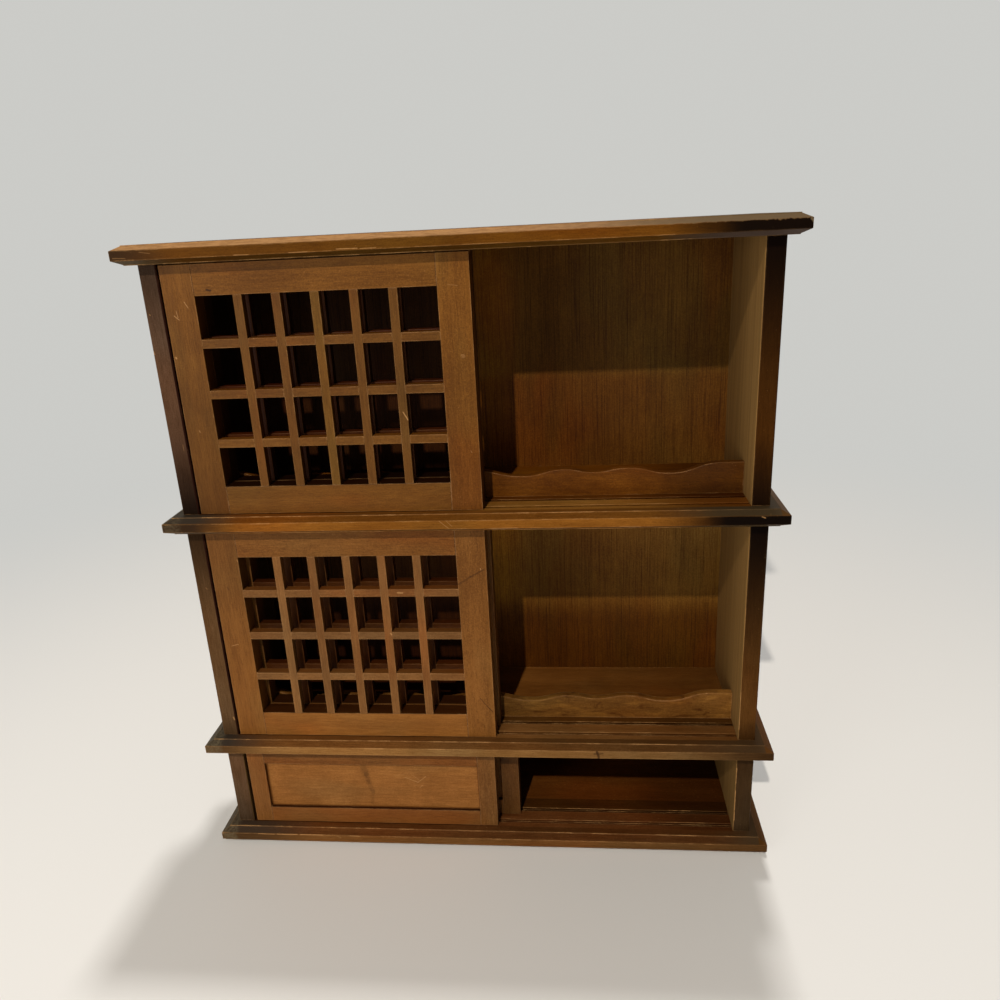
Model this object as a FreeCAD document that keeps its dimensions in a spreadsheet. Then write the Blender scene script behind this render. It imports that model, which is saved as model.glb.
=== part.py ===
import FreeCAD, Part
import math
import os
import Sketcher

# A small three-tier wooden display cabinet with sliding doors.
# X runs to the viewer's right, Y to the back and Z up.
# The origin is on the floor, in the middle of the cabinet's width and depth.
# The origin of each board, panel and door is at the front plane of the side panels.

# driving dimensions, in millimetres, and counts
sizes = [
    # carcass
    ("body_width", 360, "outer width over the side panels"),
    ("panel_thickness", 11, "side panel stock"),
    ("panel_depth", 94, "side panel, front to back"),
    ("panel_edge_round", 0.8, "eased front edges of the side panels"),
    ("board_thickness", 11, "base, shelves and top"),
    ("board_overhang", 10, "boards stand out past the side panels, front and sides"),
    ("bevel_run", 4.8, "edge moulding, inwards"),
    ("bevel_rise", 2.4, "edge moulding, upwards"),
    ("bevel_step", 0.4, "little shoulder where the bevel meets the flat"),
    ("lower_tier_height", 62, "clear height between boards"),
    ("middle_tier_height", 151.5, "clear height between boards"),
    ("upper_tier_height", 151.5, "clear height between boards"),
    ("back_thickness", 3, "plywood back"),
    ("back_lap", 5, "how far the back is let into panels, base and top"),
    ("back_edge_gap", 0.2, "play round the plywood's edges"),
    ("panel_tenon_length", 4.5, "stub tenons of the side panels, let into the boards"),
    ("panel_tenon_width", 24, "stub tenons of the side panels, front to back"),
    ("panel_tenon_thickness", 5, "stub tenons of the side panels, side to side"),
    ("panel_tenon_setback", 12, "stub tenons from the front and back of a side panel"),
    # sliding tracks
    ("groove_width", 3.2, "track grooves"),
    ("floor_groove_depth", 1.8, "grooves in the top of a board"),
    ("ceiling_groove_depth", 3, "grooves in the underside of a board"),
    ("door_thickness", 11, "stiles and rails, front to back"),
    ("door_spacing", 12, "front door's face to rear door's face"),
    ("tongue_thickness", 3, "tongues that run in the grooves"),
    ("tongue_floor_gap", 0.2, "under the lower tongue"),
    ("tongue_ceiling_gap", 0.5, "over the upper tongue"),
    ("sill_gap", 0.3, "door's shoulder above the board below"),
    ("head_gap", 0.8, "door's shoulder below the board above"),
    ("overlap_loss", 0.4, "how much less than a full stile the two shut doors overlap"),
    # lattice doors
    ("stile_width", 18.7, "upright frame members"),
    ("rail_width", 17.7, "level frame members"),
    ("bar_width", 5.2, "lattice bars, seen from the front"),
    ("bar_depth", 6, "lattice bars, front to back"),
    ("column_pitch", 22.6, "between upright bars"),
    ("column_bars", 5, "upright bars in a door"),
    ("row_bars", 3, "level bars in a door"),
    ("middle_row_lift", 0.9, "lowest level bar of a middle door above even spacing"),
    ("middle_row_spread", 0.45, "more than even spacing from bar to bar in a middle door"),
    ("bar_tenon_length", 3, "stub tenons of the bars"),
    ("bar_tenon_thickness", 3, "stub tenons of the bars"),
    ("rail_tenon_length", 9, "rail tenons into the stiles"),
    ("rail_tenon_thickness", 3.6, "rail tenons into the stiles"),
    ("rail_tenon_shoulder", 3, "rail tenon from the rail's edges"),
    # panel doors of the lower tier
    ("small_stile_width", 12, "upright frame members"),
    ("small_rail_width", 12, "level frame members"),
    ("panel_sheet_thickness", 3, "flat panel"),
    ("panel_recess", 2.5, "flat panel behind the frame's face"),
    ("panel_groove_depth", 4, "groove round the inside of the frame"),
    ("panel_edge_gap", 0.5, "room for the panel at the bottom of its groove"),
    # where the doors stand, left edge from the left side panel
    ("upper_front_start", 1, "as pushed in the photograph"),
    ("upper_rear_start", 0.4, "as pushed in the photograph"),
    ("middle_front_start", 1, "as pushed in the photograph"),
    ("middle_rear_start", 3, "as pushed in the photograph"),
    ("lower_front_start", 2.3, "as pushed in the photograph"),
    ("lower_rear_start", 17.3, "as pushed in the photograph"),
    # scalloped gallery rails
    ("gallery_height", 20, "at the square ends"),
    ("gallery_thickness", 5, "front to back"),
    ("gallery_gap", 1.2, "between the rear door and the rail"),
    # cutting
    ("overrun", 2, "how far a cut runs past the wood"),
]

# how near counts as touching, as a share of a piece's size
near_share = 0.01

# what a sketch's distances hold before their expressions take over
rough_size = 1.0

# crests and dips of a gallery rail, from its middle to one end:
# place as a share of the half length, height as a share of the rail's height
wave_shares = [
    (0.0, 0.9), (0.2, 0.67), (0.353, 0.87), (0.455, 0.76), (0.588, 0.88), (0.735, 0.69), (0.925, 1.0),
]

doc = FreeCAD.newDocument("cabinet")
dims = doc.addObject("Spreadsheet::Sheet", "dims")
for row, (alias, value, meaning) in enumerate(sizes, start=1):
    dims.set(f"A{row}", meaning)
    dims.set(f"B{row}", str(value))
    dims.setAlias(f"B{row}", alias)
doc.recompute()

# distances that follow from the driving ones
front = "(dims.board_overhang - dims.panel_depth) / 2"
inner_width = "(dims.body_width - 2 * dims.panel_thickness)"
inner_left = f"(-{inner_width} / 2)"
back_face = "(dims.panel_depth - dims.back_thickness)"
back_width = f"({inner_width} + 2 * dims.back_lap)"
rear_door_back = "(dims.door_spacing + dims.door_thickness)"
gallery_front = f"({rear_door_back} + dims.gallery_gap)"
tongue_front = "((dims.door_thickness - dims.tongue_thickness) / 2)"
tongue_back = "((dims.door_thickness + dims.tongue_thickness) / 2)"
lower_tongue = "(dims.sill_gap + dims.floor_groove_depth - dims.tongue_floor_gap)"
upper_tongue = "(dims.head_gap + dims.ceiling_groove_depth - dims.tongue_ceiling_gap)"

# levels of the tiers' floors and ceilings
lower_floor = "dims.board_thickness"
lower_ceiling = f"({lower_floor} + dims.lower_tier_height)"
middle_floor = f"({lower_ceiling} + dims.board_thickness)"
middle_ceiling = f"({middle_floor} + dims.middle_tier_height)"
upper_floor = f"({middle_ceiling} + dims.board_thickness)"
upper_ceiling = f"({upper_floor} + dims.upper_tier_height)"

# tier name, clear height, floor level
tiers = [
    ("lower", "dims.lower_tier_height", lower_floor),
    ("middle", "dims.middle_tier_height", middle_floor),
    ("upper", "dims.upper_tier_height", upper_floor),
]

pieces = []


def place(piece, x, y, z):
    """Puts a piece's own origin at a place given by three expressions."""
    for axis, where in zip("xyz", (x, y, z)):
        piece.setExpression(f"Placement.Base.{axis}", where)


def new_body(name, x, y, z, compound=False):
    """Starts one piece of wood with its own name and place."""
    body = doc.addObject("PartDesign::Body", name)
    body.Label = name
    body.AllowCompound = compound
    place(body, x, y, z)
    pieces.append(body)
    return body


def origin_part(body, role):
    """Finds a plane or an axis of the body's own origin."""
    return next(part for part in body.Origin.OriginFeatures if part.Role == role)


def new_sketch(body, name, role, offset):
    """Starts a sketch on one of the body's own planes, moved along its normal."""
    sketch = body.newObject("Sketcher::SketchObject", name)
    sketch.AttachmentSupport = [(origin_part(body, role), "")]
    sketch.MapMode = "FlatFace"
    sketch.setExpression("AttachmentOffset.Base.z", offset)
    return sketch


def fix_point(sketch, element, corner, x, y):
    """Ties one point of a sketch to expressions for its two distances from the origin."""
    for kind, distance in (("DistanceX", x), ("DistanceY", y)):
        number = sketch.addConstraint(Sketcher.Constraint(kind, -1, 1, element, corner, rough_size))
        sketch.setExpression(f"Constraints[{number}]", distance)


def draw_outline(sketch, points):
    """Draws a closed outline of straight lines; each point is a pair of expressions."""
    first = sketch.GeometryCount
    count = len(points)
    rough = [
        FreeCAD.Vector(math.cos(math.tau * turn / count), math.sin(math.tau * turn / count), 0)
        for turn in range(count)
    ]
    for index in range(count):
        sketch.addGeometry(Part.LineSegment(rough[index], rough[(index + 1) % count]), False)
    for index in range(count):
        following = first + (index + 1) % count
        sketch.addConstraint(Sketcher.Constraint("Coincident", first + index, 2, following, 1))
    for index, (x, y) in enumerate(points):
        fix_point(sketch, first + index, 1, x, y)


def outline(body, name, role, points, offset="0"):
    """Makes a sketch of one closed outline."""
    sketch = new_sketch(body, name, role, offset)
    draw_outline(sketch, points)
    return sketch


def oblong(left, low, width, height):
    """Corner points of a rectangle, from expressions."""
    right = f"{left} + {width}"
    high = f"{low} + {height}"
    return [(left, low), (right, low), (right, high), (left, high)]


def pad(body, name, sketch, length):
    """Adds wood along the sketch's normal."""
    feature = body.newObject("PartDesign::Pad", name)
    feature.Profile = sketch
    feature.setExpression("Length", length)
    return feature


def pocket(body, name, sketch, depth, along_normal=False):
    """Cuts wood against the sketch's normal, or along it, and checks that some went."""
    doc.recompute()
    before = body.Shape.Volume
    feature = body.newObject("PartDesign::Pocket", name)
    feature.Profile = sketch
    feature.Reversed = along_normal
    feature.setExpression("Length", depth)
    doc.recompute()
    if body.Shape.Volume >= before:
        raise RuntimeError(f"{body.Label}: {name} cuts nothing")
    return feature


def repeat(body, name, feature, axis, length, count):
    """Repeats a feature at even steps, so that the last copy lies at the given length."""
    pattern = body.newObject("PartDesign::LinearPattern", name)
    pattern.Originals = [feature]
    pattern.Direction = (origin_part(body, axis), [""])
    pattern.setExpression("Length", length)
    pattern.setExpression("Occurrences", count)
    body.Tip = pattern
    return pattern


def edges_where(shape, wanted):
    """Names of the edges whose box and middle pass a test."""
    found = []
    for number, edge in enumerate(shape.Edges, start=1):
        if wanted(edge.BoundBox, edge.CenterOfMass):
            found.append(f"Edge{number}")
    return found


# stub tenons of the side panels, from the front plane and the left face of a panel
tenon_inset = "((dims.panel_thickness - dims.panel_tenon_thickness) / 2)"
tenon_rows = [
    "dims.panel_tenon_setback",
    "(dims.panel_depth - dims.panel_tenon_setback - dims.panel_tenon_width)",
]

# the left sides of their mortises, from the middle of a board
mortise_columns = [
    f"({tenon_inset} - dims.body_width / 2)",
    f"(dims.body_width / 2 - dims.panel_thickness + {tenon_inset})",
]


def tenon_plan(body, name, offset, columns):
    """The cross-sections of the side panels' stub tenons, front and rear."""
    sketch = new_sketch(body, name, "XY_Plane", offset)
    for x in columns:
        for y in tenon_rows:
            draw_outline(sketch, oblong(x, y, "dims.panel_tenon_thickness", "dims.panel_tenon_width"))
    return sketch


# the four moulded boards

def add_board(name, level, floor_tracks, ceiling_tracks, back_seat):
    """A board with a beveled nose on three sides, tracks, mortises and the back's seat."""
    body = new_body(name, "0", front, level)
    half = "dims.body_width / 2"
    wide = "dims.body_width + 2 * dims.board_overhang"
    deep = "dims.panel_depth + dims.board_overhang"
    slab_points = oblong(f"-({half} + dims.board_overhang)", "-dims.board_overhang", wide, deep)
    slab_sketch = outline(body, "slab_plan", "XY_Plane", slab_points, "dims.bevel_step")
    slab = pad(body, "slab", slab_sketch, "dims.board_thickness - 2 * dims.bevel_step")
    doc.recompute()

    # bevels along the front and both ends, above and below the nose
    box = slab.Shape.BoundBox
    rear = box.YMax
    levels = (box.ZMin, box.ZMax)

    def is_nose(edge_box, middle):
        level_edge = edge_box.ZLength < edge_box.DiagonalLength * near_share
        at_face = min(abs(middle.z - face) for face in levels) < box.ZLength * near_share
        return level_edge and at_face and middle.y < rear - box.YLength * near_share

    bevel = body.newObject("PartDesign::Chamfer", "nose_bevel")
    bevel.Base = (slab, edges_where(slab.Shape, is_nose))
    bevel.ChamferType = "Two distances"
    bevel.setExpression("Size", "dims.bevel_rise")
    bevel.setExpression("Size2", "dims.bevel_run")

    # the raised flats above and below, inside the bevels
    flat_points = oblong(
        f"-({half} + dims.board_overhang - dims.bevel_run)",
        "dims.bevel_run - dims.board_overhang",
        f"{wide} - 2 * dims.bevel_run",
        f"{deep} - dims.bevel_run",
    )
    flat_sketch = outline(body, "flat_plan", "XY_Plane", flat_points)
    pad(body, "flat", flat_sketch, "dims.board_thickness")

    groove_lead = "((dims.door_thickness - dims.groove_width) / 2)"
    for track, start in (("front", "0"), ("rear", "dims.door_spacing")):
        run = oblong(inner_left, f"{start} + {groove_lead}", inner_width, "dims.groove_width")
        if floor_tracks:
            sketch = outline(body, f"{track}_floor_groove_plan", "XY_Plane", run, "dims.board_thickness")
            pocket(body, f"{track}_floor_groove", sketch, "dims.floor_groove_depth")
        if ceiling_tracks:
            sketch = outline(body, f"{track}_ceiling_groove_plan", "XY_Plane", run)
            pocket(body, f"{track}_ceiling_groove", sketch, "dims.ceiling_groove_depth", True)

    # the seat of the plywood back: a rebate in the base and the top, a notch in a shelf
    seat = oblong(f"-{back_width} / 2", back_face, back_width, "dims.back_thickness + dims.overrun")
    if back_seat == "above":
        sketch = outline(body, "back_seat_plan", "XY_Plane", seat, "dims.board_thickness")
        pocket(body, "back_seat", sketch, "dims.back_lap")
    else:
        depth = "dims.back_lap" if back_seat == "below" else "dims.board_thickness"
        sketch = outline(body, "back_seat_plan", "XY_Plane", seat)
        pocket(body, "back_seat", sketch, depth, True)

    # mortises for the side panels that stand on the board and meet it from below
    if floor_tracks:
        sketch = tenon_plan(body, "upper_mortise_plan", "dims.board_thickness", mortise_columns)
        pocket(body, "upper_mortises", sketch, "dims.panel_tenon_length")
    if ceiling_tracks:
        sketch = tenon_plan(body, "lower_mortise_plan", "0", mortise_columns)
        pocket(body, "lower_mortises", sketch, "dims.panel_tenon_length", True)
    return body


add_board("base_board", "0", True, False, "above")
add_board("lower_shelf", lower_ceiling, True, True, "through")
add_board("upper_shelf", middle_ceiling, True, True, "through")
add_board("top_board", upper_ceiling, False, True, "below")


# the six side panels

def add_side_panel(tier, side, height, level):
    """A side panel with a rebate for the back, stub tenons and eased front edges."""
    outer_left = "-dims.body_width / 2"
    if side == "left":
        start, inner, rebate = outer_left, "dims.panel_thickness", "dims.panel_thickness - dims.back_lap"
        outer = "0"
    else:
        start, inner, rebate = "dims.body_width / 2 - dims.panel_thickness", "0", "dims.back_lap"
        outer = "dims.panel_thickness"
    body = new_body(f"{tier}_{side}_side_panel", start, front, level)
    plan = [
        (outer, "0"), (inner, "0"), (inner, back_face),
        (rebate, back_face), (rebate, "dims.panel_depth"), (outer, "dims.panel_depth"),
    ]
    board = pad(body, "panel", outline(body, "panel_plan", "XY_Plane", plan), height)
    doc.recompute()

    deep = board.Shape.BoundBox.YLength

    def is_front(edge_box, middle):
        upright = edge_box.ZLength > edge_box.DiagonalLength * (1 - near_share)
        return upright and middle.y < deep * near_share

    ease = body.newObject("PartDesign::Fillet", "eased_front")
    ease.Base = (board, edges_where(board.Shape, is_front))
    ease.setExpression("Radius", "dims.panel_edge_round")
    tenons = tenon_plan(body, "tenon_plan", "-dims.panel_tenon_length", [tenon_inset])
    pad(body, "tenons", tenons, f"{height} + 2 * dims.panel_tenon_length")


for tier, height, level in tiers:
    for side in ("left", "right"):
        add_side_panel(tier, side, height, level)


# one sheet of plywood closes the back of all three tiers

def add_back():
    """The plywood back, let in flush with the rear edges."""
    gap = "dims.back_edge_gap"
    floor = f"{lower_floor} - dims.back_lap + {gap}"
    body = new_body("back_panel", "0", f"{front} + {back_face}", floor)
    wide = f"({back_width} - 2 * {gap})"
    tall = f"{upper_ceiling} - {lower_floor} + 2 * dims.back_lap - 2 * {gap}"
    plan = outline(body, "sheet_plan", "XY_Plane", oblong(f"-{wide} / 2", "0", wide, "dims.back_thickness"))
    pad(body, "sheet", plan, tall)


add_back()


# frame members of the sliding doors
# a door's own origin is at the lower left corner of its face

def add_stile(name, at, width, height, side):
    """An upright with tongues at both ends; returns the body and its inner face's place."""
    body = new_body(name, *at)
    depth = "dims.door_thickness"
    profile = [
        ("0", "0"), (tongue_front, "0"), (tongue_front, f"-{lower_tongue}"),
        (tongue_back, f"-{lower_tongue}"), (tongue_back, "0"), (depth, "0"),
        (depth, height), (tongue_back, height), (tongue_back, f"{height} + {upper_tongue}"),
        (tongue_front, f"{height} + {upper_tongue}"), (tongue_front, height), ("0", height),
    ]
    pad(body, "upright", outline(body, "upright_profile", "YZ_Plane", profile), width)
    inner = width if side == "left" else "0"
    return body, inner, side == "right"


def add_rail(name, at, length, width, end):
    """A level member with a tongue on its outer edge and a tenon at each end."""
    body = new_body(name, *at)
    depth = "dims.door_thickness"
    if end == "bottom":
        profile = [
            ("0", "0"), (tongue_front, "0"), (tongue_front, f"-{lower_tongue}"),
            (tongue_back, f"-{lower_tongue}"), (tongue_back, "0"), (depth, "0"),
            (depth, width), ("0", width),
        ]
    else:
        profile = [
            ("0", "0"), (depth, "0"), (depth, width), (tongue_back, width),
            (tongue_back, f"{width} + {upper_tongue}"), (tongue_front, f"{width} + {upper_tongue}"),
            (tongue_front, width), ("0", width),
        ]
    pad(body, "rail", outline(body, "rail_profile", "YZ_Plane", profile), length)
    tenon = outline(body, "tenon_profile", "YZ_Plane", tenon_section(width), "-dims.rail_tenon_length")
    pad(body, "tenons", tenon, f"{length} + 2 * dims.rail_tenon_length")
    return body


def tenon_section(rail):
    """The cross-section of a rail's tenon, from the rail's own lower front corner."""
    return oblong(
        "((dims.door_thickness - dims.rail_tenon_thickness) / 2)", "dims.rail_tenon_shoulder",
        "dims.rail_tenon_thickness", f"({rail} - 2 * dims.rail_tenon_shoulder)",
    )


def cut_mortises(body, inner, along_normal, rail, height):
    """Cuts the two rail mortises in a stile's inner face."""
    for end, rise in (("bottom", "0"), ("top", f"({height} - {rail})")):
        points = [(y, f"{rise} + {z}") for y, z in tenon_section(rail)]
        sketch = outline(body, f"{end}_mortise_plan", "YZ_Plane", points, inner)
        pocket(body, f"{end}_mortise", sketch, "dims.rail_tenon_length", along_normal)


# the lattice doors of the middle and upper tiers

lattice_width = f"(({inner_width} + dims.stile_width - dims.overlap_loss) / 2)"
opening_width = f"({lattice_width} - 2 * dims.stile_width)"
first_column = f"(({opening_width} - (dims.column_bars - 1) * dims.column_pitch - dims.bar_width) / 2)"
column_run = "(dims.column_bars - 1) * dims.column_pitch"
tenon_front = "((dims.bar_depth - dims.bar_tenon_thickness) / 2)"
tenon_back = "((dims.bar_depth + dims.bar_tenon_thickness) / 2)"
half_lap = "(dims.bar_depth / 2)"
column_count = round(dims.column_bars)
row_count = round(dims.row_bars)


def cut_bar_sockets(body, name, role, low_corner, step_axis, run, count, offset, along_normal, size):
    """Cuts a row of sockets for the stub tenons of the lattice bars."""
    sketch = outline(body, f"{name}_plan", role, oblong(*low_corner, *size), offset)
    first = pocket(body, name, sketch, "dims.bar_tenon_length", along_normal)
    repeat(body, f"{name}_row", first, step_axis, run, count)


def add_upright_bars(name, at, height, first_row, row_pitch):
    """The front-lapped bars: whole in front, notched behind for the level bars."""
    body = new_body(name, *at, compound=True)
    tip = "dims.bar_tenon_length"
    points = [("0", "0"), (tenon_front, "0"), (tenon_front, f"-{tip}"), (tenon_back, f"-{tip}")]
    points += [(tenon_back, "0"), ("dims.bar_depth", "0")]
    for row in range(row_count):
        low = f"({first_row} + {row} * {row_pitch})"
        high = f"({low} + dims.bar_width)"
        points += [("dims.bar_depth", low), (half_lap, low), (half_lap, high), ("dims.bar_depth", high)]
    points += [("dims.bar_depth", height), (tenon_back, height), (tenon_back, f"{height} + {tip}")]
    points += [(tenon_front, f"{height} + {tip}"), (tenon_front, height), ("0", height)]
    bar = pad(body, "bar", outline(body, "bar_profile", "YZ_Plane", points), "dims.bar_width")
    repeat(body, "bars", bar, "X_Axis", column_run, "dims.column_bars")


def add_level_bars(name, at, row_pitch):
    """The rear-lapped bars: whole behind, notched in front for the upright bars."""
    body = new_body(name, *at, compound=True)
    tip = "dims.bar_tenon_length"
    points = [("0", "0")]
    for column in range(column_count):
        low = f"({first_column} + {column} * dims.column_pitch)"
        high = f"({low} + dims.bar_width)"
        points += [(low, "0"), (low, half_lap), (high, half_lap), (high, "0")]
    points += [(opening_width, "0"), (opening_width, tenon_front), (f"{opening_width} + {tip}", tenon_front)]
    points += [(f"{opening_width} + {tip}", tenon_back), (opening_width, tenon_back)]
    points += [(opening_width, "dims.bar_depth"), ("0", "dims.bar_depth"), ("0", tenon_back)]
    points += [(f"-{tip}", tenon_back), (f"-{tip}", tenon_front), ("0", tenon_front)]
    bar = pad(body, "bar", outline(body, "bar_plan", "XY_Plane", points), "dims.bar_width")
    repeat(body, "bars", bar, "Z_Axis", f"(dims.row_bars - 1) * {row_pitch}", "dims.row_bars")


def add_lattice_door(door, x, y, z, height, lift, spread):
    """A frame of two stiles and two rails round a grid of half-lapped bars."""
    opening_height = f"({height} - 2 * dims.rail_width)"
    even_pitch = f"(({opening_height} + dims.bar_width) / (dims.row_bars + 1))"
    first_row = f"({even_pitch} - dims.bar_width + {lift})"
    row_pitch = f"({even_pitch} + {spread})"
    right_start = f"{x} + {lattice_width} - dims.stile_width"
    socket_y = tenon_front
    for side, start in (("left", x), ("right", right_start)):
        name = f"{door}_{side}_stile"
        body, inner, along = add_stile(name, (start, y, z), "dims.stile_width", height, side)
        cut_mortises(body, inner, along, "dims.rail_width", height)
        corner = (socket_y, f"dims.rail_width + {first_row}")
        run = f"(dims.row_bars - 1) * {row_pitch}"
        socket = ("dims.bar_tenon_thickness", "dims.bar_width")
        cut_bar_sockets(body, "bar_socket", "YZ_Plane", corner, "Z_Axis", run, "dims.row_bars",
                        inner, along, socket)
    rail_x = f"{x} + dims.stile_width"
    for end, rise in (("bottom", "0"), ("top", f"({height} - dims.rail_width)")):
        at = (rail_x, y, f"{z} + {rise}")
        body = add_rail(f"{door}_{end}_rail", at, opening_width, "dims.rail_width", end)
        offset = "dims.rail_width" if end == "bottom" else "0"
        corner = (first_column, socket_y)
        socket = ("dims.bar_width", "dims.bar_tenon_thickness")
        cut_bar_sockets(body, "bar_socket", "XY_Plane", corner, "X_Axis", column_run, "dims.column_bars",
                        offset, end == "top", socket)
    grid_z = f"{z} + dims.rail_width"
    at = (f"{rail_x} + {first_column}", y, grid_z)
    add_upright_bars(f"{door}_vertical_bars", at, opening_height, first_row, row_pitch)
    at = (rail_x, y, f"{grid_z} + {first_row}")
    add_level_bars(f"{door}_horizontal_bars", at, row_pitch)


# the panel doors of the lower tier

panel_door_width = f"(({inner_width} + dims.small_stile_width - dims.overlap_loss) / 2)"
sheet_play = "(dims.panel_groove_depth - dims.panel_edge_gap)"


def add_panel_door(door, x, y, z, height):
    """A small frame round a flat panel that floats in grooves."""
    stile, rail = "dims.small_stile_width", "dims.small_rail_width"
    length = f"({panel_door_width} - 2 * {stile})"
    groove_deep = "dims.panel_groove_depth"
    right_start = f"{x} + {panel_door_width} - {stile}"
    for side, start in (("left", x), ("right", right_start)):
        body, inner, along = add_stile(f"{door}_{side}_stile", (start, y, z), stile, height, side)
        cut_mortises(body, inner, along, rail, height)
        low = f"({rail} - {groove_deep})"
        run = oblong("dims.panel_recess", low, "dims.panel_sheet_thickness", f"({height} - 2 * {low})")
        sketch = outline(body, "panel_groove_plan", "YZ_Plane", run, inner)
        pocket(body, "panel_groove", sketch, groove_deep, along)
    for end, rise in (("bottom", "0"), ("top", f"({height} - {rail})")):
        at = (f"{x} + {stile}", y, f"{z} + {rise}")
        body = add_rail(f"{door}_{end}_rail", at, length, rail, end)
        overall = f"({length} + 2 * dims.rail_tenon_length)"
        run = oblong("-dims.rail_tenon_length", "dims.panel_recess", overall, "dims.panel_sheet_thickness")
        sketch = outline(body, "panel_groove_plan", "XY_Plane", run, rail if end == "bottom" else "0")
        pocket(body, "panel_groove", sketch, groove_deep, end == "top")
    sheet_at = (f"{x} + {stile} - {sheet_play}", f"{y} + dims.panel_recess", f"{z} + {rail} - {sheet_play}")
    body = new_body(f"{door}_panel", *sheet_at)
    plan = oblong("0", "0", f"{length} + 2 * {sheet_play}", "dims.panel_sheet_thickness")
    tall = f"{height} - 2 * {rail} + 2 * {sheet_play}"
    pad(body, "sheet", outline(body, "sheet_plan", "XY_Plane", plan), tall)


# how far the level bars of a tier's doors stand from even spacing
row_offsets = {"middle": ("dims.middle_row_lift", "dims.middle_row_spread"), "upper": ("0", "0")}

for tier, tier_height, level in tiers:
    for track, setback in (("front", "0"), ("rear", "dims.door_spacing")):
        door_x = f"{inner_left} + dims.{tier}_{track}_start"
        door_height = f"({tier_height} - dims.sill_gap - dims.head_gap)"
        door_y = f"{front} + {setback}"
        door_z = f"{level} + dims.sill_gap"
        door_at = (f"{tier}_{track}_door", door_x, door_y, door_z, door_height)
        if tier == "lower":
            add_panel_door(*door_at)
        else:
            add_lattice_door(*door_at, *row_offsets[tier])


# the scalloped gallery rails, one curve cut along the top of a thin strip

def swell(start, end):
    """A smooth rise or fall between two level points."""
    middle = (start.x + end.x) / 2
    poles = [start, FreeCAD.Vector(middle, 0, start.z), FreeCAD.Vector(middle, 0, end.z), end]
    curve = Part.BezierCurve()
    curve.setPoles(poles)
    return curve.toShape()


def add_gallery(name, level):
    """A rail with square ends and a wavy top, symmetrical about its middle."""
    rail = doc.addObject("Part::Feature", name)
    rail.Label = name
    half = (dims.body_width - 2 * dims.panel_thickness) / 2
    tall = dims.gallery_height
    right = [FreeCAD.Vector(half * along, 0, tall * rise) for along, rise in wave_shares]
    left = [FreeCAD.Vector(-point.x, 0, point.z) for point in reversed(right[1:])]
    crests = left + right
    waves = [swell(start, end) for start, end in zip(crests, crests[1:])]
    corners = [
        right[-1], FreeCAD.Vector(half, 0, tall), FreeCAD.Vector(half, 0, 0),
        FreeCAD.Vector(-half, 0, 0), FreeCAD.Vector(-half, 0, tall), left[0],
    ]
    straight = [Part.makeLine(start, end) for start, end in zip(corners, corners[1:])]
    face = Part.Face(Part.Wire(waves + straight))
    rail.Shape = face.extrude(FreeCAD.Vector(0, dims.gallery_thickness, 0))
    place(rail, "0", f"{front} + {gallery_front}", level)
    pieces.append(rail)


add_gallery("middle_scalloped_rail", middle_floor)
add_gallery("upper_scalloped_rail", upper_floor)


def check_document():
    """Stops if any feature failed or any piece is empty or broken."""
    for item in doc.Objects:
        if "Invalid" in item.State or "Error" in item.State:
            raise RuntimeError(f"{item.Label} failed: {item.State}")
    for piece in pieces:
        if piece.Shape.isNull() or not piece.Shape.isValid() or not piece.Shape.Solids:
            raise RuntimeError(f"{piece.Label} has no sound shape")


doc.recompute()
check_document()
os.makedirs("parts", exist_ok=True)
for piece in pieces:
    piece.Shape.exportStep(f"parts/{piece.Label}.step")
print(len(pieces), "pieces")
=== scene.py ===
import math
import random
import bpy
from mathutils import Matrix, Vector


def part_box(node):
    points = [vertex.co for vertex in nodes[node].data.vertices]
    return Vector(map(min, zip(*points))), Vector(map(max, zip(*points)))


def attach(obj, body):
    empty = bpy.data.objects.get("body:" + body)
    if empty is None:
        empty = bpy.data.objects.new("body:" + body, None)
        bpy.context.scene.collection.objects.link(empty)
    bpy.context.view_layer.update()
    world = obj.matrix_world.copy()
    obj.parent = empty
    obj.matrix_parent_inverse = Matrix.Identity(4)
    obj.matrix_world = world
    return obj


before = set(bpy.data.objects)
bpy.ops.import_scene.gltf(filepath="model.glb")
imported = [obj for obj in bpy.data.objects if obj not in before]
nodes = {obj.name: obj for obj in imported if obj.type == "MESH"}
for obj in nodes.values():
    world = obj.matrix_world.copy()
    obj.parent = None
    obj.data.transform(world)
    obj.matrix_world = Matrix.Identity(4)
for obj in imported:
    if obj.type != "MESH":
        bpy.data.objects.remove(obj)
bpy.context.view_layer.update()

print("frame loaded")

tiers = ("lower", "middle", "upper")
tracks = ("front", "rear")


# camera, as the picture was taken: close, a little to the right and looking down
view = {
    "place": (0.0676181, -0.5004393, 0.4108741),
    "turn": (71.053, 2.711, 4.904),
    "lens": 29.058,
    "sensor": 36.0,
    "nearest": 0.01,
}
camera = bpy.data.objects.new("viewer", bpy.data.cameras.new("viewer"))
camera.data.lens = view["lens"]
camera.data.sensor_width = view["sensor"]
camera.data.clip_start = view["nearest"]
camera.location = view["place"]
camera.rotation_euler = [math.radians(turn) for turn in view["turn"]]
bpy.context.scene.collection.objects.link(camera)
bpy.context.scene.camera = camera


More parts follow.
